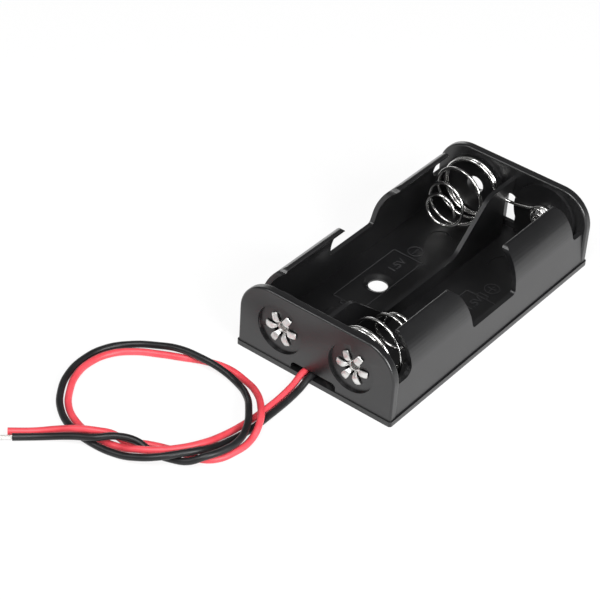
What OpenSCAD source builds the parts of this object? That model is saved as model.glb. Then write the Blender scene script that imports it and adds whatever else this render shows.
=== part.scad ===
// Open holder for two round cells lying side by side, head to tail, with two leads.
// Millimetres. X across the cells, Y along them (leads leave at -Y), Z up from the floor's underside.

/* [Cells] */
// Diameter of each cell
cell_d = 14.5; // [13.5:0.1:15.5]
// Length of each cell over its button
cell_l = 50.5; // [46:0.5:54]
// Length each bay keeps for its two contacts
contact_room = 4.5; // [4:0.1:6]

/* [Housing] */
// Thickness of the floor
floor_t = 0.95; // [0.8:0.05:1.4]
// Thickness of the side walls and grips
side_t = 0.9; // [0.7:0.05:1.2]
// Thickness of the end walls
end_t = 1.6; // [1.5:0.1:2.2]
// Thickness of the divider between the bays
divider_t = 0.8; // [0.6:0.1:1.4]
// How far the floor's edge stands proud of the walls
ledge = 0.2; // [0.1:0.05:0.5]
// Height of the end walls
end_h = 14.2; // [13.8:0.1:15]
// Radius of the end walls' top corners
end_r = 6.2; // [4:0.1:7]
// Angle above level to which each grip wraps its cell
grip_wrap = 49; // [45:1:60]
// Inward lean of the side walls, sprung upright by a cell
wall_lean = 4.5; // [0:0.5:6]
// Height of the side walls between the grips
dip_h = 6.2; // [5:0.1:7.5]
// Height of the divider at its ends
divider_h = 12; // [10.5:0.1:13]
// Height of the divider along its middle
divider_low = 3.9; // [3.4:0.1:6]

/* [Mounting hole] */
// Diameter of the screw hole
hole_d = 3.5; // [2.5:0.1:4]
// Diameter of the countersink at the floor's top
sink_d = 5.8; // [5:0.1:7]

/* [Contacts] */
// Distance of each contact from the divider's middle
contact_x = 7.3; // [7:0.1:7.6]
// Height of each contact
contact_z = 7.4; // [7.3:0.1:8]
// Diameter of the spring wire
wire_d = 0.6; // [0.5:0.05:0.7]
// Free length of each spring
spring_l = 11.2; // [9:0.1:12.5]
// Diameter of the round seats for the contacts
pad_d = 12.4; // [12.2:0.1:12.6]
// Height of the seats inside the end walls
pad_t = 0.6; // [0.5:0.05:0.8]
// Diameter of the recesses outside the end walls
recess_d = 9.1; // [8.6:0.1:10]
// Depth of the recesses
recess_t = 0.55; // [0.4:0.05:0.9]

/* [Rivets] */
// Diameter of the hollow shank
shank_d = 2.3; // [2.1:0.1:3]
// Diameter of the hole for the shank
shank_hole = 3.4; // [3.3:0.05:3.5]
// Diameter of the head inside the bay
head_d = 5; // [4.8:0.1:5.6]
// Height of the head
head_h = 1; // [0.8:0.05:1.3]
// Width of each of the six petals
petal_w = 1.45; // [1:0.05:1.6]
// Reach of the petals from the rivet's axis
petal_r = 3.3; // [3:0.1:3.8]

/* [Leads] */
// Diameter over the insulation
lead_d = 1.2; // [1:0.05:1.25]
// Diameter of the bare conductor
core_d = 0.6; // [0.5:0.05:0.6]
// Length of the black lead's bare tip
bare_l = 2.4; // [1:0.1:4]

/* [Hidden] */
$fn = 48;

// housing
cut = 0.1;                                   // overrun of every cutter
cell_x = (cell_d + divider_t) / 2;           // cell axis from the middle
cell_z = floor_t + cell_d / 2;
wall_x = cell_x + cell_d / 2;                // inner face of each side wall
out_x = wall_x + side_t;
bay_y = (cell_l + contact_room) / 2;         // inner face of each end wall
out_y = bay_y + end_t;
pad_y = bay_y - pad_t;                       // contact face of each seat
edge_r = 0.4;                                // rolled edge of the end walls
floor_r = 0.5;                               // upright corners of the floor
slot_x = 1.35;                               // half width of the far wall's slot
slot_bottom = 2.1;
slot_top = 8.6;
groove_t = 0.8;                              // groove under that slot
exit_x = 4.6;                                // half width of the leads' exit
exit_r = 0.8;
exit_h = 2.4;
notch_l = 2.5;                               // divider notch for the link wire
notch_h = 9.7;
lead_notch_l = 3;                            // divider notch for the leads
lead_notch_h = 3.2;
hole_at = [-7.6, -1];
sink_t = 0.6;                                // depth of the countersink
ejectors = [[-7.2, 16.8, 4.4], [6.5, 17.6, 6.6], [-7.5, -13, 4.4]];
ejector_t = 0.12;

// one side wall as [along, height, corner radius], drawn for a bay of drawn_bay
drawn_bay = 55;
slots = [7.2, 7.3];                          // height of the wall in the slots at its two ends
low_path = [[-23.4, 1.6], [-23.3, 0.8], [-8.2, 3], [-6, 0.8], [6.5, 0.8]];   // [along, radius]
lean_at = [6.5, 9.7, 2];                     // the far grip leans from here
high_path = [[7, 1.6], [23.1, 2], [24.4, 1.2]];
tip_fall = 0.1;                              // outline's clearance above the grips
slope_at = [19.8, 10.4];                     // corners of the divider's slopes
slope_r = 4;

// contacts
wire_r = wire_d / 2;
close = wire_d + 0.04;                       // advance of a close turn
base_r = pad_d / 2 - wire_r - 0.3;           // base turns lie just inside the seat's edge
tip_r = 3.1;
base_turns = 2;
body_turns = 2.3;
tip_turns = 0.66;
start_a = -13;                               // where the base turn ends, seen from the leads' end
taper = 1.8;                                 // how late the body narrows
swell = 0.25;                                // how early it climbs
turn_n = 16;                                 // rings of a wire in one turn
wire_n = 8;                                  // sides of every wire and lead
link = [[-1.65, 6.75], [-1.25, 7.25], [-0.6, 7.5], [0.5, 7.55], [2, 7.7], [3.7, 8.05], [5, 8.4]];
button_r = 2;
button_in_r = 1.15;
button_at = [7.3, 7.5];
button_turns = 2.2;
button_a = 125;                              // where the link meets the button
arm_turn = 0.35;                             // turn in which the arm reaches the rivet's loop
loop_turn = 0.85;
shank_r = shank_d / 2;
shank_t = 0.35;                              // wall of the hollow shank
loop_r = shank_hole / 2 + 0.2;               // loops lie round the edge of the shank's hole
rim_h = 0.25;                                // upright rim of the rivet's head
petal_t = 0.3;
petal_h = 0.65;                              // height of the petals' roll over the recess
petal_bend = 0.8;                            // radius of that roll
petal_root = 0.5;                            // depth from which the petals spread
petal_neck = [0.6, 0.6];                     // reach and width where they leave the shank
petal_full = 1.5;                            // reach at which they are at full width
petal_end = 0.5;                             // rounded corners of their ends
petal_n = 6;
core_r = core_d / 2;
core_gap = 0.3;                              // room beside a conductor in its groove
pocket_t = core_d + 0.02;

// leads: each runs along [x, y, level], level 0 on the table and 1 over another lead
lead_z = floor_t + lead_d / 2 + 0.03;        // height inside the exit
lie_z = lead_d / 2 + 0.05;
rise = lead_d + 0.15;
in_y = -bay_y - 0.3;                         // the insulation ends inside the near wall
exit_y = -out_y - ledge - 0.3;
red_x = -1.8;
black_x = -0.3;
red_route = [
    [-1.6, -32.5, 0], [-1.2, -41, 0], [-1.5, -45, 0], [-2.1, -49.5, 0.2], [-2.9, -54.2, 0.9],
    [-4.6, -57.2, 1], [-6.7, -59.6, 1], [-9.3, -61.3, 0.8], [-12.8, -62, 0], [-18, -62.7, 0],
    [-21.7, -62, 0], [-25, -60.2, 0], [-27.6, -57.2, 0], [-29.5, -53.6, 0], [-30, -49.8, 0],
    [-29, -46, 0], [-26.5, -43, 0], [-23, -40.7, 0], [-19.5, -38.8, 0], [-16, -37, 0],
    [-12, -36, 0], [-8, -36.5, 0], [-4.5, -38.2, 0.6], [-1.5, -40.7, 1], [1.1, -44.2, 0.9],
    [1.8, -47.1, 0.1], [1.6, -50.8, 0], [0.5, -54, 0], [-1.7, -55.8, 0], [-4.6, -56.5, 0],
    [-9.9, -58.6, 0], [-12.5, -60.3, 0], [-14.7, -61.1, 0.7], [-16.6, -62.6, 1.1],
    [-19.2, -64.1, 1], [-21.9, -65.4, 0.4], [-25.1, -68.1, 0], [-28.1, -70.8, 0]];
black_route = [
    [-0.2, -32.5, 0], [0.2, -41, 0], [0.1, -45, 0], [-0.5, -48.8, 0], [-1.2, -52.4, 0.3],
    [-2, -55.6, 1], [-3.6, -58.2, 1.1], [-5.5, -60.6, 1], [-8.2, -62.4, 0.6],
    [-11.8, -63.4, 0], [-17.5, -64.1, 0], [-21.8, -63.4, 0], [-25.5, -61.5, 0],
    [-28.5, -58.4, 0], [-30.7, -54.2, 0], [-31.4, -50, 0], [-30.6, -45.5, 0], [-28, -41.8, 0],
    [-24.4, -39.6, 0.3], [-20.5, -38.6, 0.9], [-16.5, -38.1, 1], [-12.5, -37.5, 0.5],
    [-8.7, -37.8, 0], [-5.4, -39.6, 0.4], [-2.4, -42.6, 1], [0.4, -46.7, 1], [1.2, -49.5, 0.9],
    [0.9, -53, 1], [-0.3, -56, 1], [-2.1, -57.6, 0.3], [-4.6, -58.6, 0], [-8, -59.4, 0],
    [-10.9, -60, 0.8], [-13.6, -61.8, 1.2], [-15.7, -63.9, 1.1], [-19.3, -65.7, 0.6],
    [-23.8, -68.7, 0], [-26.6, -71.3, 0]];
red_turn = [[-1.8, 1.62], [-2, 1.85], [-2.6, 2.5]];          // conductor from the lead to its groove
black_turn = [[-0.3, 1.6], [0, 1.62], [1, 1.75], [2.2, 2.35]];
red_a = -46;                                 // groove's angle about the rivet
black_a = 225;
loop_path = [[6, 0], [4.5, 0], [3, 0], [2.4, 2], [2.05, 25]];   // [radius, angle] into the loop
loop_from = 50;
loop_to = 330;

function unit(v) = v / norm(v);
function side_of(v) = unit(abs(v.z) < 0.9 ? cross(v, [0, 0, 1]) : cross(v, [1, 0, 0]));
function spin_at(r, a) = r * [cos(a), sin(a)];
// arc of radius r that rounds corner b of the path a, b, c
function corner(a, b, c, r, n = 6) =
    let (u = unit([a.x - b.x, a.y - b.y]), v = unit([c.x - b.x, c.y - b.y]),
         half = acos(max(-1, min(1, u * v))) / 2, reach = r / tan(half),
         centre = [b.x, b.y] + unit(u + v) * r / sin(half),
         from = [b.x, b.y] + u * reach - centre, to = [b.x, b.y] + v * reach - centre,
         start = atan2(from.y, from.x), turn = ((atan2(to.y, to.x) - start + 540) % 360) - 180)
    r <= 0 ? [[b.x, b.y]] : [for (i = [0:n]) centre + spin_at(r, start + turn * i / n)];
// closed path of [x, y, corner radius]
function rounded(path) = let (n = len(path)) [for (i = [0:n - 1],
    p = corner(path[(i + n - 1) % n], path[i], path[(i + 1) % n], path[i][2])) p];
function tangents(p) = [for (i = [0:len(p) - 1]) unit(p[min(i + 1, len(p) - 1)] - p[max(i - 1, 0)])];
function normals(t) = [for (i = 0, n = side_of(t[0]); i < len(t); i = i + 1,
    n = unit(n - (n * t[min(i, len(t) - 1)]) * t[min(i, len(t) - 1)])) n];

// round wire of radius r along a path
module tube(path, r) {
    t = tangents(path);
    n = normals(t);
    last = (len(path) - 1) * wire_n;
    ring = [for (a = [0:wire_n - 1]) 360 * a / wire_n];
    polyhedron(
        [for (i = [0:len(path) - 1], a = ring) path[i] + r * (cos(a) * n[i] + sin(a) * cross(t[i], n[i]))],
        concat([[for (a = [0:wire_n - 1]) a]],
            [for (i = [0:len(path) - 2], a = [0:wire_n - 1], k = [0, 1])
                let (p = i * wire_n + a, q = i * wire_n + (a + 1) % wire_n)
                k == 0 ? [p, p + wire_n, q + wire_n] : [p, q + wire_n, q]],
            [[for (a = [wire_n - 1:-1:0]) last + a]]));
}

// section of an end wall from its middle outwards, with the rolled edge
function rolled(out) = rounded([[0, end_t / 2, 0], [0, -end_t / 2, 0], [out, -end_t / 2, edge_r],
    [out, end_t / 2, edge_r]]);

module end_wall() {
    flat_x = out_x - end_r;
    flat_z = end_h - end_r;
    translate([-flat_x, -end_t / 2, 0]) cube([2 * flat_x, end_t, flat_z]);
    translate([0, 0, flat_z]) rotate([90, 0, 90]) linear_extrude(2 * flat_x, center = true)
        polygon([for (p = rolled(end_r)) [p.y, p.x]]);
    for (s = [0, 180]) rotate([0, 0, s]) translate([flat_x, 0, 0]) {
        linear_extrude(flat_z) polygon(rolled(end_r));
        translate([0, 0, flat_z]) rotate([90, 0, 0]) rotate_extrude(angle = 90) polygon(rolled(end_r));
    }
}

// leaning wall and the arc that hooks over the cell, seen along the cells
module wall_section() {
    far = 2 * cell_d;
    translate([out_x, 0]) rotate(wall_lean) translate([-side_t, 0]) square([side_t, cell_z]);
    translate([out_x, 0]) rotate(wall_lean) translate([cell_x - out_x, cell_z]) {
        intersection() {
            difference() {
                circle(r = cell_d / 2 + side_t);
                circle(r = cell_d / 2);
            }
            polygon([[0, 0], [far, 0], spin_at(far, grip_wrap)]);
        }
        translate(spin_at((cell_d + side_t) / 2, grip_wrap)) circle(r = side_t / 2);
    }
}

module side_wall() {
    reach = bay_y + end_t / 2;
    tip = [cell_x - out_x, cell_z] + spin_at((cell_d + side_t) / 2, grip_wrap);
    top = tip.x * sin(wall_lean) + tip.y * cos(wall_lean) + side_t / 2 + tip_fall;
    k = 2 * bay_y / drawn_bay;
    outline = [[-reach, 0, 0], [reach, 0, 0], [reach, slots[1], 0],
        [high_path[2][0] * k, slots[1], high_path[2][1]], [high_path[1][0] * k, top, high_path[1][1]],
        [high_path[0][0] * k, top, high_path[0][1]], [lean_at.x * k, lean_at.y, lean_at.z],
        [low_path[4][0] * k, dip_h, low_path[4][1]], [low_path[3][0] * k, dip_h, low_path[3][1]],
        [low_path[2][0] * k, top, low_path[2][1]], [low_path[1][0] * k, top, low_path[1][1]],
        [low_path[0][0] * k, slots[0], low_path[0][1]], [-reach, slots[0], 0]];
    intersection() {
        rotate([90, 0, 0]) linear_extrude(2 * reach, center = true) wall_section();
        translate([cell_x, 0, 0]) rotate([90, 0, 90]) linear_extrude(cell_d) polygon(rounded(outline));
    }
}

module divider() {
    reach = bay_y + end_t / 2;
    k = 2 * bay_y / drawn_bay;
    high = slope_at[0] * k;
    low = slope_at[1] * k;
    rotate([90, 0, 90]) linear_extrude(divider_t, center = true) polygon(rounded([
        [-reach, 0, 0], [reach, 0, 0], [reach, divider_h, 0], [high, divider_h, slope_r],
        [low, divider_low, slope_r], [-low, divider_low, slope_r], [-high, divider_h, slope_r],
        [-reach, divider_h, 0]]));
}

// everything cut from an end wall at one contact; the leads' end also has a pocket and a groove
module contact_cut(x, groove) {
    translate([x, 0, contact_z]) rotate([90, 0, 0]) {
        cylinder(d = shank_hole, h = out_y + cut);
        translate([0, 0, out_y - recess_t]) cylinder(d = recess_d, h = recess_t + cut);
        if (groove != undef) {
            translate([0, 0, pad_y - cut]) cylinder(r = loop_r + core_r + 0.15, h = pocket_t + cut);
            rotate([0, 0, groove]) translate([0, -(core_d + core_gap) / 2, pad_y - cut])
                cube([pad_d / 2 + cut, core_d + core_gap, pocket_t + cut]);
        }
    }
}

module housing() {
    w = out_x + ledge;
    l = out_y + ledge;
    slot_cap = slot_top - slot_x;
    color([0.07, 0.07, 0.075]) difference() {
        union() {
            linear_extrude(floor_t) polygon(rounded([[-w, -l, floor_r], [w, -l, floor_r], [w, l, floor_r],
                [-w, l, floor_r]]));
            for (s = [0, 180]) rotate([0, 0, s]) {
                translate([0, bay_y + end_t / 2, 0]) end_wall();
                side_wall();
                for (x = [-contact_x, contact_x]) translate([x, bay_y + cut, contact_z]) rotate([90, 0, 0])
                    cylinder(d = pad_d, h = pad_t + cut);
            }
            divider();
        }
        // leads' end
        contact_cut(-contact_x, red_a);
        contact_cut(contact_x, black_a);
        translate([0, -bay_y, 0]) rotate([90, 0, 0]) linear_extrude(3 * end_t, center = true)
            polygon(rounded([[-exit_x, floor_t, 0], [exit_x, floor_t, 0], [exit_x, exit_h, exit_r],
                [-exit_x, exit_h, exit_r]]));
        translate([-divider_t, -bay_y, floor_t]) cube([2 * divider_t, lead_notch_l, lead_notch_h - floor_t]);
        // link's end
        rotate([0, 0, 180]) {
            contact_cut(-contact_x);
            contact_cut(contact_x);
        }
        translate([-divider_t, bay_y - notch_l, floor_t])
            cube([2 * divider_t, notch_l, notch_h - notch_l / 2 - floor_t]);
        translate([-divider_t, bay_y - notch_l / 2, notch_h - notch_l / 2]) rotate([0, 90, 0])
            cylinder(d = notch_l, h = 2 * divider_t);
        translate([-slot_x, bay_y - cut, slot_bottom]) cube([2 * slot_x, 2 * end_t, slot_cap - slot_bottom]);
        translate([0, bay_y - cut, slot_cap]) rotate([-90, 0, 0]) cylinder(r = slot_x, h = 2 * end_t);
        translate([-slot_x, bay_y - cut, floor_t]) cube([2 * slot_x, groove_t + cut, slot_bottom]);
        // floor
        translate([hole_at.x, hole_at.y, -cut]) cylinder(d = hole_d, h = floor_t + 2 * cut);
        translate([hole_at.x, hole_at.y, floor_t - sink_t])
            cylinder(d1 = hole_d, d2 = sink_d, h = sink_t);
        for (e = ejectors) translate([e.x, e.y, floor_t - ejector_t]) cylinder(d = e.z, h = ejector_t + cut);
    }
}

// hollow rivet: head on z = 0 facing the bay, shank through `grip`, six petals rolled over the recess
module rivet(grip) {
    head_r = head_d / 2;
    dome = head_h - rim_h;
    dome_r = (head_r * head_r + dome * dome) / (2 * dome);
    dome_a = asin(head_r / dome_r);
    inner_r = shank_r - shank_t;
    rotate_extrude() polygon(concat(
        [for (i = [0:8]) spin_at(dome_r, 90 - dome_a * i / 8) + [0, head_h - dome_r]],
        [[head_r, 0], [shank_r, 0], [shank_r, petal_root - grip], [inner_r, petal_root - grip],
         [inner_r, rim_h], [0, rim_h]]));
    for (i = [0:petal_n - 1]) translate([0, 0, -grip]) rotate([0, 0, 360 * i / petal_n]) intersection() {
        rotate([90, 0, 0]) linear_extrude(2 * petal_w, center = true) polygon(rounded([
            [inner_r, petal_root + cut, 0], [inner_r, -petal_h, petal_bend], [petal_r + cut, -petal_t, 0],
            [petal_r + cut, 0, 0], [petal_r - petal_t, 0, 0], [shank_r, petal_t - petal_h, petal_bend / 2],
            [shank_r, petal_root + cut, 0]]));
        translate([0, 0, -petal_h - cut]) linear_extrude(petal_h + grip) polygon(rounded([
            [petal_neck[0], -petal_neck[1] / 2, 0], [petal_full, -petal_w / 2, petal_end],
            [petal_r, -petal_w / 2, petal_end], [petal_r, petal_w / 2, petal_end],
            [petal_full, petal_w / 2, petal_end], [petal_neck[0], petal_neck[1] / 2, 0]]));
    }
}

module positive_rivet() {
    color([0.78, 0.77, 0.74]) translate([-contact_x, -pad_y, contact_z]) rotate([-90, 0, 0])
        rivet(pad_t + end_t - recess_t);
}

module negative_rivet() {
    color([0.78, 0.77, 0.74]) translate([contact_x, -pad_y + wire_d, contact_z]) rotate([-90, 0, 0])
        rivet(pad_t + end_t - recess_t + wire_d);
}

// conical spring from its tip to its base, on a seat facing -Y
spring_turns = base_turns + body_turns + tip_turns;
body_l = spring_l - wire_d - close * (base_turns + tip_turns);
function body_at(turn) = max(0, min(1, (turn - base_turns) / body_turns));
function spring_at(turn) =
    let (u = body_at(turn), r = base_r - (base_r - tip_r) * pow(u, taper),
         out = close * min(turn, base_turns) + body_l * (u + swell * u * (1 - u))
             + close * max(0, turn - base_turns - body_turns),
         p = spin_at(r, start_a - 360 * turn))
    [p.x - contact_x, pad_y - wire_r - out, p.y + contact_z];
function spring_path() = [for (i = [ceil(spring_turns * turn_n):-1:0])
    spring_at(min(spring_turns, i / turn_n))];
function ease(u) = u * u * (3 - 2 * u);

module near_spring() {
    arm = [for (i = [1:ceil((arm_turn + loop_turn) * turn_n)])
        let (s = i / turn_n, p = spin_at(base_r - (base_r - loop_r) * ease(min(1, s / arm_turn)),
             start_a + 360 * s))
        [p.x - contact_x, pad_y - wire_r, p.y + contact_z]];
    color([0.72, 0.72, 0.72]) rotate([0, 0, 180]) tube(concat(spring_path(), arm), wire_r);
}

// one wire: spring, link behind the divider, flat button
module far_contact_wire() {
    y = pad_y - wire_r;
    narrow = [0.9, 1.3];                     // turns between which the button narrows
    button = [for (i = [0:ceil(button_turns * turn_n)])
        let (s = i / turn_n, u = ease(max(0, min(1, (s - narrow[0]) / (narrow[1] - narrow[0])))),
             p = spin_at(button_r - (button_r - button_in_r) * u, button_a - 360 * s))
        [button_at.x + p.x, y - close * s, button_at.y + p.y]];
    color([0.72, 0.72, 0.72])
        tube(concat(spring_path(), [for (p = link) [p.x, y, p.y]], button), wire_r);
}

function lead_path(x, route) = concat([[x, in_y, lead_z], [x, exit_y, lead_z]],
    [for (p = route) [p.x, p.y, lie_z + rise * p.z]]);

module red_lead() {
    color([0.82, 0.12, 0.16]) tube(lead_path(red_x, red_route), lead_d / 2);
}

module black_lead() {
    color([0.13, 0.13, 0.14]) tube(lead_path(black_x, black_route), lead_d / 2);
}

// bared conductor: out of the lead's inner end, up its groove and round the rivet's shank
module bared(x, turn, at_x, a, s) {
    y = -pad_y - core_r;
    loop = concat(loop_path, [for (i = [loop_from:20:loop_to]) [loop_r, i]]);
    tube(concat([[x, in_y, lead_z], [turn[0].x, (in_y + y) / 2, turn[0].y]],
        [for (i = [1:len(turn) - 1]) [turn[i].x, y, turn[i].y]],
        [for (p = loop) let (q = spin_at(p[0], a + s * p[1])) [at_x + q.x, y, contact_z + q.y]]), core_r);
}

module red_conductor() {
    color([0.8, 0.78, 0.74]) bared(red_x, red_turn, -contact_x, red_a, 1);
}

module black_conductor() {
    end = lead_path(black_x, black_route);
    tip = end[len(end) - 1];
    color([0.8, 0.78, 0.74]) {
        bared(black_x, black_turn, contact_x, black_a, -1);
        tube([tip, tip + bare_l * unit(tip - end[len(end) - 2])], core_r);
    }
}

housing();
positive_rivet();
negative_rivet();
near_spring();
far_contact_wire();
red_lead();
black_lead();
red_conductor();
black_conductor();
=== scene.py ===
import math
import bpy
import bmesh
from mathutils import Matrix, Vector


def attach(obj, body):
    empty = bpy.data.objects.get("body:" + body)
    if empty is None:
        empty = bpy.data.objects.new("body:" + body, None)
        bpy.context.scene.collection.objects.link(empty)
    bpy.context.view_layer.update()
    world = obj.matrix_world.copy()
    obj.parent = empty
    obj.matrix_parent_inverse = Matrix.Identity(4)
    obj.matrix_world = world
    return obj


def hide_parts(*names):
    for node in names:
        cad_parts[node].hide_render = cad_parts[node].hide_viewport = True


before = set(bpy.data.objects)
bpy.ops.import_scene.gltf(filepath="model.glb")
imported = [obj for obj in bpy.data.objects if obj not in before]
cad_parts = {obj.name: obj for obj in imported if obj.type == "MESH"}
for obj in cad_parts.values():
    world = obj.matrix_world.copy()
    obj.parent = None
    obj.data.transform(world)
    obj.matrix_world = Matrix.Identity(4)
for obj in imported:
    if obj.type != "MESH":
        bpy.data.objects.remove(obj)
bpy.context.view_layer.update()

mm = 0.001


def link(obj):
    bpy.context.scene.collection.objects.link(obj)
    return obj


def meshPiece(name, bm, material, node=None):
    mesh = bpy.data.meshes.new(name)
    bm.to_mesh(mesh)
    bm.free()
    piece = link(bpy.data.objects.new(name, mesh))
    mesh.materials.append(material)
    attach(piece, "root")
    if node:
        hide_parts(node)
    return piece


def smoothFaces(mesh, degrees):
    mesh.shade_smooth()
    mesh.set_sharp_from_angle(angle=math.radians(degrees))


def wirePiece(name, points, radius, material, sides, steps):
    # one smooth curve through the points, given in metres
    curve = bpy.data.curves.new(name, "CURVE")
    curve.dimensions = "3D"
    curve.resolution_u = steps
    curve.render_resolution_u = steps
    curve.bevel_depth = radius
    curve.bevel_resolution = sides
    curve.use_fill_caps = True
    curve.twist_mode = "MINIMUM"
    spline = curve.splines.new("BEZIER")
    spline.bezier_points.add(len(points) - 1)
    for knot, point in zip(spline.bezier_points, points):
        knot.co = point
        knot.handle_left_type = knot.handle_right_type = "AUTO"
    curve.materials.append(material)
    piece = link(bpy.data.objects.new(name, curve))
    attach(piece, "root")
    return piece


# camera, set at the angle the object is usually shown from
cameraView = {"azimuth": 36.17, "elevation": 38.03, "roll": 3.73, "distance": 0.3594,
             "aim": (-0.02044, -0.00518), "aimHeight": 0.00713, "lens": 126.8}


def makeCamera(v):
    a, e, r = (math.radians(v[k]) for k in ("azimuth", "elevation", "roll"))
    back = Vector((math.sin(a) * math.cos(e), -math.cos(a) * math.cos(e), math.sin(e)))
    level = Vector((math.cos(a), math.sin(a), 0))
    upright = back.cross(level)
    right = level * math.cos(r) + upright * math.sin(r)
    up = upright * math.cos(r) - level * math.sin(r)
    place = Vector((0, 0, v["aimHeight"])) + right * v["aim"][0] + up * v["aim"][1] + back * v["distance"]
    data = bpy.data.cameras.new("camera")
    data.lens = v["lens"]
    data.clip_start, data.clip_end = 0.01, 10
    camera = link(bpy.data.objects.new("camera", data))
    turn = Matrix((right, up, back)).transposed()
    camera.matrix_world = Matrix.Translation(place) @ turn.to_4x4()
    bpy.context.scene.camera = camera


makeCamera(cameraView)
print("camera set")


def newMaterial(name):
    material = bpy.data.materials.new(name)
    material.use_nodes = True
    nodes, links = material.node_tree.nodes, material.node_tree.links
    return material, nodes, links, nodes["Principled BSDF"]


def noiseNode(nodes, links, coords, scale, detail=4.0, stretch=(1, 1, 1)):
    place = nodes.new("ShaderNodeMapping")
    place.inputs["Scale"].default_value = stretch
    links.new(coords.outputs["Object"], place.inputs["Vector"])
    noise = nodes.new("ShaderNodeTexNoise")
    noise.inputs["Scale"].default_value = scale
    noise.inputs["Detail"].default_value = detail
    links.new(place.outputs["Vector"], noise.inputs["Vector"])
    return noise


def rampNode(nodes, links, source, low, high, stops=(0.35, 0.65)):
    ramp = nodes.new("ShaderNodeValToRGB")
    for element, position, colour in zip(ramp.color_ramp.elements, stops, (low, high)):
        element.position = position
        element.color = (*colour, 1)
    links.new(source, ramp.inputs["Fac"])
    return ramp


def rangeNode(nodes, links, source, low, high):
    fit = nodes.new("ShaderNodeMapRange")
    fit.inputs["To Min"].default_value = low
    fit.inputs["To Max"].default_value = high
    links.new(source, fit.inputs["Value"])
    return fit


def finishMaterial(name, look):
    # colour clouds, roughness patches and a fine grain, all on object coordinates
    material, nodes, links, shader = newMaterial(name)
    coords = nodes.new("ShaderNodeTexCoord")
    clouds = noiseNode(nodes, links, coords, look["cloudScale"], 5.0, look.get("stretch", (1, 1, 1)))
    tint = rampNode(nodes, links, clouds.outputs["Fac"], look["dark"], look["light"])
    links.new(tint.outputs["Color"], shader.inputs["Base Color"])
    patches = noiseNode(nodes, links, coords, look["patchScale"], 3.0)
    rough = rangeNode(nodes, links, patches.outputs["Fac"], *look["roughness"])
    links.new(rough.outputs["Result"], shader.inputs["Roughness"])
    grain = noiseNode(nodes, links, coords, look["grainScale"], 6.0, look.get("stretch", (1, 1, 1)))
    bump = nodes.new("ShaderNodeBump")
    bump.inputs["Strength"].default_value = look["grain"]
    bump.inputs["Distance"].default_value = look["grainDepth"]
    links.new(grain.outputs["Fac"], bump.inputs["Height"])
    links.new(bump.outputs["Normal"], shader.inputs["Normal"])
    shader.inputs["Metallic"].default_value = look["metallic"]
    shader.inputs["IOR"].default_value = look.get("ior", 1.5)
    shader.inputs["Specular IOR Level"].default_value = look.get("specular", 0.5)
    shader.inputs["Coat Weight"].default_value = look.get("coat", 0.0)
    shader.inputs["Coat Roughness"].default_value = look.get("coatRoughness", 0.25)
    return material


finishes = {
    "mouldedBlack": {"dark": (0.0045, 0.0045, 0.005), "light": (0.008, 0.008, 0.0085), "cloudScale": 120,
                     "patchScale": 90, "roughness": (0.27, 0.37), "grainScale": 2600, "grain": 0.2,
                     "grainDepth": 0.00002, "metallic": 0.0, "specular": 0.6, "coat": 0.2,
                     "coatRoughness": 0.3},
    "mattBlack": {"dark": (0.02, 0.02, 0.021), "light": (0.032, 0.032, 0.033), "cloudScale": 400,
                  "patchScale": 300, "roughness": (0.5, 0.62), "grainScale": 2600, "grain": 0.3,
                  "grainDepth": 0.00002, "metallic": 0.0},
    "brightNickel": {"dark": (0.66, 0.655, 0.64), "light": (0.86, 0.855, 0.84), "cloudScale": 600,
                     "patchScale": 900, "roughness": (0.36, 0.5), "grainScale": 3000, "grain": 0.25,
                     "grainDepth": 0.00001, "metallic": 1.0},
    "springNickel": {"dark": (0.62, 0.615, 0.6), "light": (0.85, 0.845, 0.83), "cloudScale": 400,
                     "patchScale": 700, "roughness": (0.14, 0.26), "grainScale": 2500, "grain": 0.15,
                     "grainDepth": 0.00001, "metallic": 1.0},
    "redVinyl": {"dark": (0.6, 0.045, 0.06), "light": (0.74, 0.07, 0.09), "cloudScale": 300,
                 "patchScale": 200, "roughness": (0.36, 0.5), "grainScale": 1800, "grain": 0.25,
                 "grainDepth": 0.00003, "metallic": 0.0},
    "blackVinyl": {"dark": (0.006, 0.006, 0.0065), "light": (0.012, 0.012, 0.013), "cloudScale": 300,
                   "patchScale": 200, "roughness": (0.32, 0.46), "grainScale": 1800, "grain": 0.25,
                   "grainDepth": 0.00003, "metallic": 0.0, "specular": 0.35},
    "tinnedStrands": {"dark": (0.6, 0.59, 0.56), "light": (0.8, 0.79, 0.77), "cloudScale": 900,
                      "patchScale": 900, "roughness": (0.25, 0.42), "grainScale": 2500, "grain": 0.3,
                      "grainDepth": 0.00002, "metallic": 1.0},
}
paint = {name: finishMaterial(name, look) for name, look in finishes.items()}
print("materials made:", len(paint))

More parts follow.
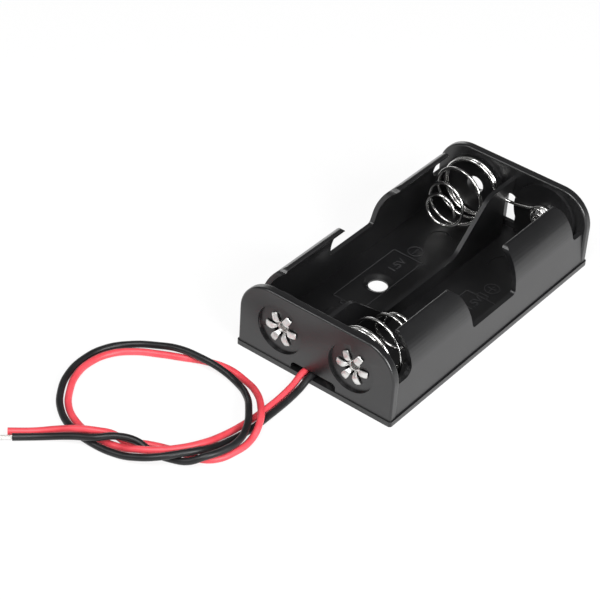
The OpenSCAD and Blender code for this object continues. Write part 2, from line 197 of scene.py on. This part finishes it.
leads = {"diameter": 1.2, "exitHeight": 1.58, "tableHeight": 0.77, "rise": 1.35, "innerEnd": -27.8,
         "exit": -29.6, "redX": -1.8, "blackX": -0.3,
         "red": [[-1.6, -32.5, 0], [-1.2, -41, 0], [-1.5, -45, 0], [-2.1, -49.5, 0.2],
                 [-2.9, -54.2, 0.9], [-4.6, -57.2, 1], [-6.7, -59.6, 1], [-9.3, -61.3, 0.8],
                 [-12.8, -62, 0], [-18, -62.7, 0], [-21.7, -62, 0], [-25, -60.2, 0],
                 [-27.6, -57.2, 0], [-29.5, -53.6, 0], [-30, -49.8, 0], [-29, -46, 0],
                 [-26.5, -43, 0], [-23, -40.7, 0], [-19.5, -38.8, 0], [-16, -37, 0],
                 [-12, -36, 0], [-8, -36.5, 0], [-4.5, -38.2, 0.6], [-1.5, -40.7, 1],
                 [1.1, -44.2, 0.9], [1.8, -47.1, 0.1], [1.6, -50.8, 0], [0.5, -54, 0],
                 [-1.7, -55.8, 0], [-4.6, -56.5, 0], [-9.9, -58.6, 0], [-12.5, -60.3, 0],
                 [-14.7, -61.1, 0.7], [-16.6, -62.6, 1.1], [-19.2, -64.1, 1],
                 [-21.9, -65.4, 0.4], [-25.1, -68.1, 0], [-28.1, -70.8, 0]],
         "black": [[-0.2, -32.5, 0], [0.2, -41, 0], [0.1, -45, 0], [-0.5, -48.8, 0],
                   [-1.2, -52.4, 0.3], [-2, -55.6, 1], [-3.6, -58.2, 1.1], [-5.5, -60.6, 1],
                   [-8.2, -62.4, 0.6], [-11.8, -63.4, 0], [-17.5, -64.1, 0], [-21.8, -63.4, 0],
                   [-25.5, -61.5, 0], [-28.5, -58.4, 0], [-30.7, -54.2, 0], [-31.4, -50, 0],
                   [-30.6, -45.5, 0], [-28, -41.8, 0], [-24.4, -39.6, 0.3],
                   [-20.5, -38.6, 0.9], [-16.5, -38.1, 1], [-12.5, -37.5, 0.5],
                   [-8.7, -37.8, 0], [-5.4, -39.6, 0.4], [-2.4, -42.6, 1], [0.4, -46.7, 1],
                   [1.2, -49.5, 0.9], [0.9, -53, 1], [-0.3, -56, 1], [-2.1, -57.6, 0.3],
                   [-4.6, -58.6, 0], [-8, -59.4, 0], [-10.9, -60, 0.8], [-13.6, -61.8, 1.2],
                   [-15.7, -63.9, 1.1], [-19.3, -65.7, 0.6], [-23.8, -68.7, 0],
                   [-26.6, -71.3, 0]]}

tip = {"strands": 9, "strand": 0.09, "bundle": 0.26, "rings": 14, "twist": 0.45, "bare": 2.45,
       "tuck": 0.1, "ragged": 0.12}


def leadRoute(x, route, v):
    inside = [Vector((x, v["innerEnd"], v["exitHeight"])), Vector((x, v["exit"], v["exitHeight"]))]
    outside = [Vector((a, b, v["tableHeight"] + v["rise"] * c)) for a, b, c in route]
    return [p * mm for p in inside + outside]


def runLength(points):
    return sum((b - a).length for a, b in zip(points, points[1:]))


def strandPiece(name, start, along, v):
    # fine wires twisted round a bare tip
    side = along.orthogonal().normalized()
    other = along.cross(side)
    curve = bpy.data.curves.new(name, "CURVE")
    curve.dimensions = "3D"
    curve.bevel_depth = v["strand"] * mm
    curve.bevel_resolution = 2
    curve.use_fill_caps = True
    for k in range(v["strands"]):
        spline = curve.splines.new("POLY")
        spline.points.add(v["rings"])
        for i, knot in enumerate(spline.points):
            turn = math.tau * (k / v["strands"] + v["twist"] * i / v["rings"])
            out = (side * math.cos(turn) + other * math.sin(turn)) * v["bundle"]
            uneven = v["ragged"] * math.sin(3 * k) if i == v["rings"] else 0
            reach = v["bare"] * (i / v["rings"]) - v["tuck"] + uneven
            knot.co = (*(start + (out + along * reach) * mm), 1)
    curve.materials.append(paint["tinnedStrands"])
    piece = link(bpy.data.objects.new(name, curve))
    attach(piece, "root")
    return piece


for colour, x in (("red", leads["redX"]), ("black", leads["blackX"])):
    route = leadRoute(x, leads[colour], leads)
    if colour == "black":
        strandPiece("bareStrands", route[-1], (route[-1] - route[-2]).normalized(), tip)
    lead = wirePiece(colour + "Lead", route, leads["diameter"] / 2 * mm, paint[colour + "Vinyl"],
                     sides=5, steps=6)
    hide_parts(colour + "_lead")
    print(colour, "lead", round(runLength(route) / mm, 1), "mm")

coils = {"wire": 0.6, "centre": (7.3, 7.4), "seat": 26.9, "baseRadius": 5.6, "tipRadius": 3.1,
         "baseTurns": 2, "bodyTurns": 2.3, "tipTurns": 0.66, "close": 0.64, "length": 11.2,
         "start": -13, "taper": 1.8, "swell": 0.25, "perTurn": 24,
         "armTurn": 0.35, "loopTurn": 0.85, "loopRadius": 1.9,
         "link": [[-1.65, 6.75], [-1.25, 7.25], [-0.6, 7.5], [0.5, 7.55], [2, 7.7], [3.7, 8.05], [5, 8.4]],
         "buttonAt": (7.3, 7.5), "buttonRadius": 2.0, "buttonInner": 1.15, "buttonTurns": 2.2,
         "buttonStart": 125, "shrinkFrom": 0.9, "shrinkOver": 0.4}


def around(radius, degrees):
    a = math.radians(degrees)
    return radius * math.cos(a), radius * math.sin(a)


def ease(u):
    u = max(0.0, min(1.0, u))
    return u * u * (3 - 2 * u)


def springPath(v):
    # from the small free end to the seat, on the wall that faces the leads
    turns = v["baseTurns"] + v["bodyTurns"] + v["tipTurns"]
    body = v["length"] - v["wire"] - v["close"] * (v["baseTurns"] + v["tipTurns"])
    path = []
    for i in range(math.ceil(turns * v["perTurn"]), -1, -1):
        turn = min(turns, i / v["perTurn"])
        u = max(0.0, min(1.0, (turn - v["baseTurns"]) / v["bodyTurns"]))
        x, z = around(v["baseRadius"] - (v["baseRadius"] - v["tipRadius"]) * u ** v["taper"],
                      v["start"] - 360 * turn)
        out = (v["close"] * (min(turn, v["baseTurns"]) + max(0, turn - v["baseTurns"] - v["bodyTurns"]))
               + body * (u + v["swell"] * u * (1 - u)))
        path.append((x - v["centre"][0], v["seat"] - v["wire"] / 2 - out, z + v["centre"][1]))
    return path


def armPath(v):
    path = []
    for i in range(1, math.ceil((v["armTurn"] + v["loopTurn"]) * v["perTurn"]) + 1):
        s = i / v["perTurn"]
        x, z = around(v["baseRadius"] - (v["baseRadius"] - v["loopRadius"]) * ease(s / v["armTurn"]),
                      v["start"] + 360 * s)
        path.append((x - v["centre"][0], v["seat"] - v["wire"] / 2, z + v["centre"][1]))
    return path


def buttonPath(v):
    path = []
    for i in range(math.ceil(v["buttonTurns"] * v["perTurn"]) + 1):
        s = i / v["perTurn"]
        shrunk = ease((s - v["shrinkFrom"]) / v["shrinkOver"])
        x, z = around(v["buttonRadius"] - (v["buttonRadius"] - v["buttonInner"]) * shrunk,
                      v["buttonStart"] - 360 * s)
        out = v["seat"] - v["wire"] / 2 - v["close"] * s
        path.append((v["buttonAt"][0] + x, out, v["buttonAt"][1] + z))
    return path


linkPath = [(x, coils["seat"] - coils["wire"] / 2, z) for x, z in coils["link"]]
farPath = [Vector(p) * mm for p in springPath(coils) + linkPath + buttonPath(coils)]
nearPath = [Vector((-x, -y, z)) * mm for x, y, z in springPath(coils) + armPath(coils)]
for name, node, path in (("farContactWire", "far_contact_wire", farPath),
                         ("nearSpring", "near_spring", nearPath)):
    coil = wirePiece(name, path, coils["wire"] / 2 * mm, paint["springNickel"],
                     sides=3, steps=2)
    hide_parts(node)
print("springs wound")

rivets = {"height": 7.4, "reach": 7.3, "seat": 26.9, "head": 2.5, "headHeight": 1.0, "rim": 0.25,
          "shank": 1.15, "wall": 0.35, "grip": 1.65, "wire": 0.6, "petals": 6, "root": 0.5,
          "neckWidth": 0.66, "petalWidth": 1.26, "crest": 0.5, "bend": 0.95, "dish": 0.1,
          "tail": [(2.35, -0.47), (2.75, -0.37), (3.05, -0.25), (3.18, -0.13)],
          "widens": 0.75, "endWidths": (0.95, 0.62), "thinned": 0.8, "petalEdge": 0.07,
          "flange": 0.06, "mouth": 0.3, "domeRings": 8, "sides": 48}


def petalMesh(v, grip):
    # one petal as a strip that rolls out of the shank, thickened, then repeated round it
    mid = v["shank"] - v["wall"] / 2
    strip = [(mid, v["root"] + 0.1)]
    for i in range(7):
        x, z = around(v["bend"], 180 + 15 * i)
        strip.append((mid + v["bend"] + x, v["bend"] - v["crest"] + z))
    strip += v["tail"]
    petal = bmesh.new()
    rows = []
    for i, (r, z) in enumerate(strip):
        spread = min(1.0, max(0.0, (r - mid) / v["widens"]))
        half = (v["neckWidth"] + (v["petalWidth"] - v["neckWidth"]) * spread) / 2
        if i >= len(strip) - 2:
            half *= v["endWidths"][i - len(strip) + 2]
        rows.append([petal.verts.new((r, s * half, z - grip - v["dish"] * spread * (1 - s * s)))
                     for s in (-1, -0.5, 0, 0.5, 1)])
    for a, b in zip(rows, rows[1:]):
        for k in range(4):
            petal.faces.new((a[k], a[k + 1], b[k + 1], b[k]))
    bmesh.ops.recalc_face_normals(petal, faces=petal.faces[:])
    bmesh.ops.solidify(petal, geom=petal.faces[:], thickness=v["wall"] * v["thinned"])
    bmesh.ops.recalc_face_normals(petal, faces=petal.faces[:])
    bmesh.ops.bevel(petal, geom=[e for e in petal.edges if e.calc_face_angle(0) > 1.0],
                    offset=v["petalEdge"], segments=2, affect="EDGES", profile=0.5, material=-1)
    bmesh.ops.spin(petal, geom=petal.verts[:] + petal.edges[:] + petal.faces[:], cent=(0, 0, 0),
                   axis=(0, 0, 1), angle=math.tau * (v["petals"] - 1) / v["petals"],
                   steps=v["petals"] - 1, use_duplicate=True)
    mesh = bpy.data.meshes.new("petals")
    petal.to_mesh(mesh)
    petal.free()
    return mesh


def rivetMesh(v, grip):
    # the outline of domed head and hollow shank, turned round its axis
    bm = bmesh.new()
    dome = v["headHeight"] - v["rim"]
    ball = (v["head"] ** 2 + dome ** 2) / (2 * dome)
    spread = math.asin(v["head"] / ball)
    bore = v["shank"] - v["wall"]
    outline = [(0.0001, v["headHeight"])]
    for i in range(1, v["domeRings"] + 1):
        a = spread * i / v["domeRings"]
        outline.append((ball * math.sin(a), v["headHeight"] - ball + ball * math.cos(a)))
    outline += [(v["head"], v["flange"]), (v["head"] - v["flange"], 0), (v["shank"], 0),
                (v["shank"], v["root"] - grip), (bore, v["root"] - grip), (bore, v["rim"] - v["mouth"]),
                (bore - v["mouth"], v["rim"]), (0.0001, v["rim"])]
    verts = [bm.verts.new((r, 0, z)) for r, z in outline]
    edges = [bm.edges.new(pair) for pair in zip(verts, verts[1:])]
    bmesh.ops.spin(bm, geom=verts + edges, cent=(0, 0, 0), axis=(0, 0, 1), angle=math.tau,
                   steps=v["sides"], use_merge=True)
    bmesh.ops.remove_doubles(bm, verts=bm.verts[:], dist=0.002)
    petals = petalMesh(v, grip)
    bm.from_mesh(petals)
    bpy.data.meshes.remove(petals)
    return bm


def rivetPiece(name, node, x, seat, grip, v):
    bm = rivetMesh(v, grip)
    bmesh.ops.transform(bm, matrix=Matrix.Scale(mm, 4) @ Matrix.Translation((x, -seat, v["height"]))
                        @ Matrix.Rotation(math.radians(-90), 4, "X"), verts=bm.verts[:])
    bmesh.ops.recalc_face_normals(bm, faces=bm.faces[:])
    piece = meshPiece(name, bm, paint["brightNickel"], node)
    smoothFaces(piece.data, 40)
    return piece


rivetPiece("positiveRivet", "positive_rivet", -rivets["reach"], rivets["seat"], rivets["grip"], rivets)
rivetPiece("negativeRivet", "negative_rivet", rivets["reach"], rivets["seat"] - rivets["wire"],
           rivets["grip"] + rivets["wire"], rivets)
print("rivets set")

housing = {"edge": 0.12, "rounds": 2, "flat": 0.4, "sharp": 40, "smooth": 30, "wallFace": 28,
           "recessX": 7.3, "recessZ": 7.4, "recessReach": 4.9}


def housingPiece(v):
    bm = bmesh.new()
    bm.from_mesh(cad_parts["housing"].data)
    bmesh.ops.remove_doubles(bm, verts=bm.verts[:], dist=1e-6)
    bmesh.ops.dissolve_limit(bm, angle_limit=math.radians(v["flat"]), verts=bm.verts[:],
                             edges=bm.edges[:], delimit={"NORMAL"})
    # round every edge but the crisp rims of the recesses
    weight = bm.edges.layers.float.new("bevel_weight_edge")
    for edge in bm.edges:
        spot = (edge.verts[0].co + edge.verts[1].co) / 2 / mm
        across = math.hypot(abs(spot.x) - v["recessX"], spot.z - v["recessZ"])
        crisp = abs(spot.y) > v["wallFace"] and across < v["recessReach"]
        if edge.calc_face_angle(0) > math.radians(v["sharp"]) and not crisp:
            edge[weight] = 1
    piece = meshPiece("mouldedHousing", bm, paint["mouldedBlack"], "housing")
    smoothFaces(piece.data, v["smooth"])
    bevel = piece.modifiers.new("edges", "BEVEL")
    bevel.limit_method = "WEIGHT"
    bevel.width = v["edge"] * mm
    bevel.segments = v["rounds"]
    bevel.miter_outer = "MITER_ARC"
    even = piece.modifiers.new("evenShade", "WEIGHTED_NORMAL")
    even.keep_sharp = True
    return piece


housingPiece(housing)

marks = {"floor": 0.95, "line": 0.16, "height": 0.07, "ring": 1.35, "sign": 0.8, "text": 2.3,
         "nubHalf": 1, "nubReach": 0.9,
         "rows": [{"box": (-11.3, -9.0, -5.2, 8.6), "nub": -1, "ring": (-8.1, 10.7), "plus": False,
                   "text": (-7.4, 3.1)},
                  {"box": (5.1, -8.6, 11.1, 7.7), "nub": 1, "ring": (8.2, 10.9), "plus": True,
                   "text": (8.9, 3.3)}]}


def ridge(bm, a, b, v):
    # a straight raised line from a to b
    a, b = Vector(a), Vector(b)
    run = b - a
    bmesh.ops.create_cube(bm, size=1, matrix=Matrix.Translation((*((a + b) / 2), v["floor"]))
                          @ Matrix.Rotation(math.atan2(run.y, run.x), 4, "Z")
                          @ Matrix.Diagonal((run.length + v["line"], v["line"], 2 * v["height"], 1)))


def ring(bm, centre, v):
    # a round raised line
    low, high = v["floor"] - v["height"], v["floor"] + v["height"]
    inner, outer = v["ring"] - v["line"] / 2, v["ring"] + v["line"] / 2
    verts = [bm.verts.new((centre[0] + r, centre[1], z))
             for r, z in ((inner, low), (inner, high), (outer, high), (outer, low))]
    edges = [bm.edges.new((verts[i], verts[(i + 1) % 4])) for i in range(4)]
    bmesh.ops.spin(bm, geom=verts + edges, cent=(*centre, 0), axis=(0, 0, 1), angle=math.tau, steps=40,
                   use_merge=True)


def voltage(bm, place, v):
    # the cell's voltage, reading along the bay
    curve = bpy.data.curves.new("voltage", "FONT")
    curve.body = "1.5V"
    curve.size = v["text"]
    curve.extrude = v["height"]
    words = link(bpy.data.objects.new("voltage", curve))
    mesh = bpy.data.meshes.new_from_object(words)
    mesh.transform(Matrix.Translation((*place, v["floor"])) @ Matrix.Rotation(math.pi / 2, 4, "Z"))
    bm.from_mesh(mesh)
    bpy.data.objects.remove(words)
    bpy.data.meshes.remove(mesh)
    bpy.data.curves.remove(curve)


def markPiece(v):
    # the outline, polarity sign and voltage of each cell, raised from the floors
    bm = bmesh.new()
    half, out = v["nubHalf"], v["nubReach"]
    for row in v["rows"]:
        x0, y0, x1, y1 = row["box"]
        outline = [(x0, y0), (x1, y0), (x1, y1), (x0, y1), (x0, y0)]
        for a, b in zip(outline, outline[1:]):
            ridge(bm, a, b, v)
        mid, end = (x0 + x1) / 2, y1 if row["nub"] > 0 else y0
        corners = [(mid + x, end + y * row["nub"])
                   for x, y in ((-half, 0), (-half, out), (half, out), (half, 0))]
        for a, b in zip(corners, corners[1:]):
            ridge(bm, a, b, v)
        ring(bm, row["ring"], v)
        x, y = row["ring"]
        ridge(bm, (x, y - v["sign"]), (x, y + v["sign"]), v)
        if row["plus"]:
            ridge(bm, (x - v["sign"], y), (x + v["sign"], y), v)
        voltage(bm, row["text"], v)
    bmesh.ops.recalc_face_normals(bm, faces=bm.faces[:])
    bmesh.ops.scale(bm, vec=(mm, mm, mm), verts=bm.verts[:])
    meshPiece("floorMarks", bm, paint["mattBlack"])


markPiece(marks)
for name in ("red_conductor", "black_conductor"):
    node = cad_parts[name]
    node.data.materials.clear()
    node.data.materials.append(paint["tinnedStrands"])
print("housing dressed")

studio = {"floor": (0.94, 0.94, 0.94), "horizon": 0.3, "zenith": 0.12, "low": 0.0, "high": 0.4,
          "glow": 0.85, "aim": (0, 0, 0.005),
          "lamps": {"keyLight": {"place": (0.1, -0.25, 0.45), "size": 0.3, "power": 2.0},
                    "sideLight": {"place": (0.42, -0.1, 0.24), "size": 0.3, "power": 2.8},
                    "backLight": {"place": (-0.48, 0.44, 0.06), "size": 0.3, "power": 0.4},
                    "edgeLight": {"place": (-0.26, -0.35, 0.36), "size": 0.16, "power": 0.6}}}


def glowShare(nodes, links, rays, names):
    # 1 for the rays that see the bare white studio, 0 for the light that falls on the holder
    total = rays.outputs[names[0]]
    for name in names[1:]:
        either = nodes.new("ShaderNodeMath")
        either.operation = "MAXIMUM"
        links.new(total, either.inputs[0])
        links.new(rays.outputs[name], either.inputs[1])
        total = either.outputs["Value"]
    return total


def makeFloor(v):
    bm = bmesh.new()
    bmesh.ops.create_grid(bm, x_segments=1, y_segments=1, size=2.5)
    mesh = bpy.data.meshes.new("floor")
    bm.to_mesh(mesh)
    bm.free()
    link(bpy.data.objects.new("floor", mesh))
    material, nodes, links, shader = newMaterial("paleFloor")
    shader.inputs["Base Color"].default_value = (*v["floor"], 1)
    shader.inputs["Roughness"].default_value = 0.9
    shader.inputs["Specular IOR Level"].default_value = 0.0
    glow, rays = nodes.new("ShaderNodeEmission"), nodes.new("ShaderNodeLightPath")
    amount, mix = nodes.new("ShaderNodeMath"), nodes.new("ShaderNodeMixShader")
    amount.operation = "MULTIPLY"
    amount.inputs[1].default_value = v["glow"]
    links.new(glowShare(nodes, links, rays, ("Is Camera Ray", "Is Glossy Ray")), amount.inputs[0])
    links.new(amount.outputs["Value"], mix.inputs["Fac"])
    links.new(shader.outputs["BSDF"], mix.inputs[1])
    links.new(glow.outputs["Emission"], mix.inputs[2])
    links.new(mix.outputs["Shader"], nodes["Material Output"].inputs["Surface"])
    mesh.materials.append(material)


def makeWorld(v):
    # a dim room that darkens overhead, so that the pale floor gives most of the shine
    world = bpy.data.worlds.new("studio")
    bpy.context.scene.world = world
    world.use_nodes = True
    nodes, links = world.node_tree.nodes, world.node_tree.links
    soft, shown = nodes["Background"], nodes.new("ShaderNodeBackground")
    coords, split = nodes.new("ShaderNodeTexCoord"), nodes.new("ShaderNodeSeparateXYZ")
    links.new(coords.outputs["Generated"], split.inputs["Vector"])
    fall = nodes.new("ShaderNodeMapRange")
    fall.interpolation_type = "SMOOTHSTEP"
    for socket, key in (("From Min", "low"), ("From Max", "high"), ("To Min", "horizon"),
                        ("To Max", "zenith")):
        fall.inputs[socket].default_value = v[key]
    links.new(split.outputs["Z"], fall.inputs["Value"])
    links.new(fall.outputs["Result"], soft.inputs["Strength"])
    soft.inputs["Color"].default_value = (1, 1, 1, 1)
    shown.inputs["Color"].default_value = (1, 1, 1, 1)
    shown.inputs["Strength"].default_value = 1.0
    rays, mix = nodes.new("ShaderNodeLightPath"), nodes.new("ShaderNodeMixShader")
    links.new(glowShare(nodes, links, rays, ("Is Camera Ray", "Is Transmission Ray")), mix.inputs["Fac"])
    links.new(soft.outputs["Background"], mix.inputs[1])
    links.new(shown.outputs["Background"], mix.inputs[2])
    links.new(mix.outputs["Shader"], nodes["World Output"].inputs["Surface"])


def makeLamps(v):
    for name, look in v["lamps"].items():
        lamp = bpy.data.lights.new(name, "AREA")
        lamp.shape = "DISK"
        lamp.size = look["size"]
        lamp.energy = look["power"]
        light = link(bpy.data.objects.new(name, lamp))
        light.location = look["place"]
        away = Vector(look["place"]) - Vector(v["aim"])
        light.rotation_euler = away.to_track_quat("Z", "Y").to_euler()


makeFloor(studio)
makeWorld(studio)
makeLamps(studio)
bpy.context.scene.view_settings.view_transform = "Standard"
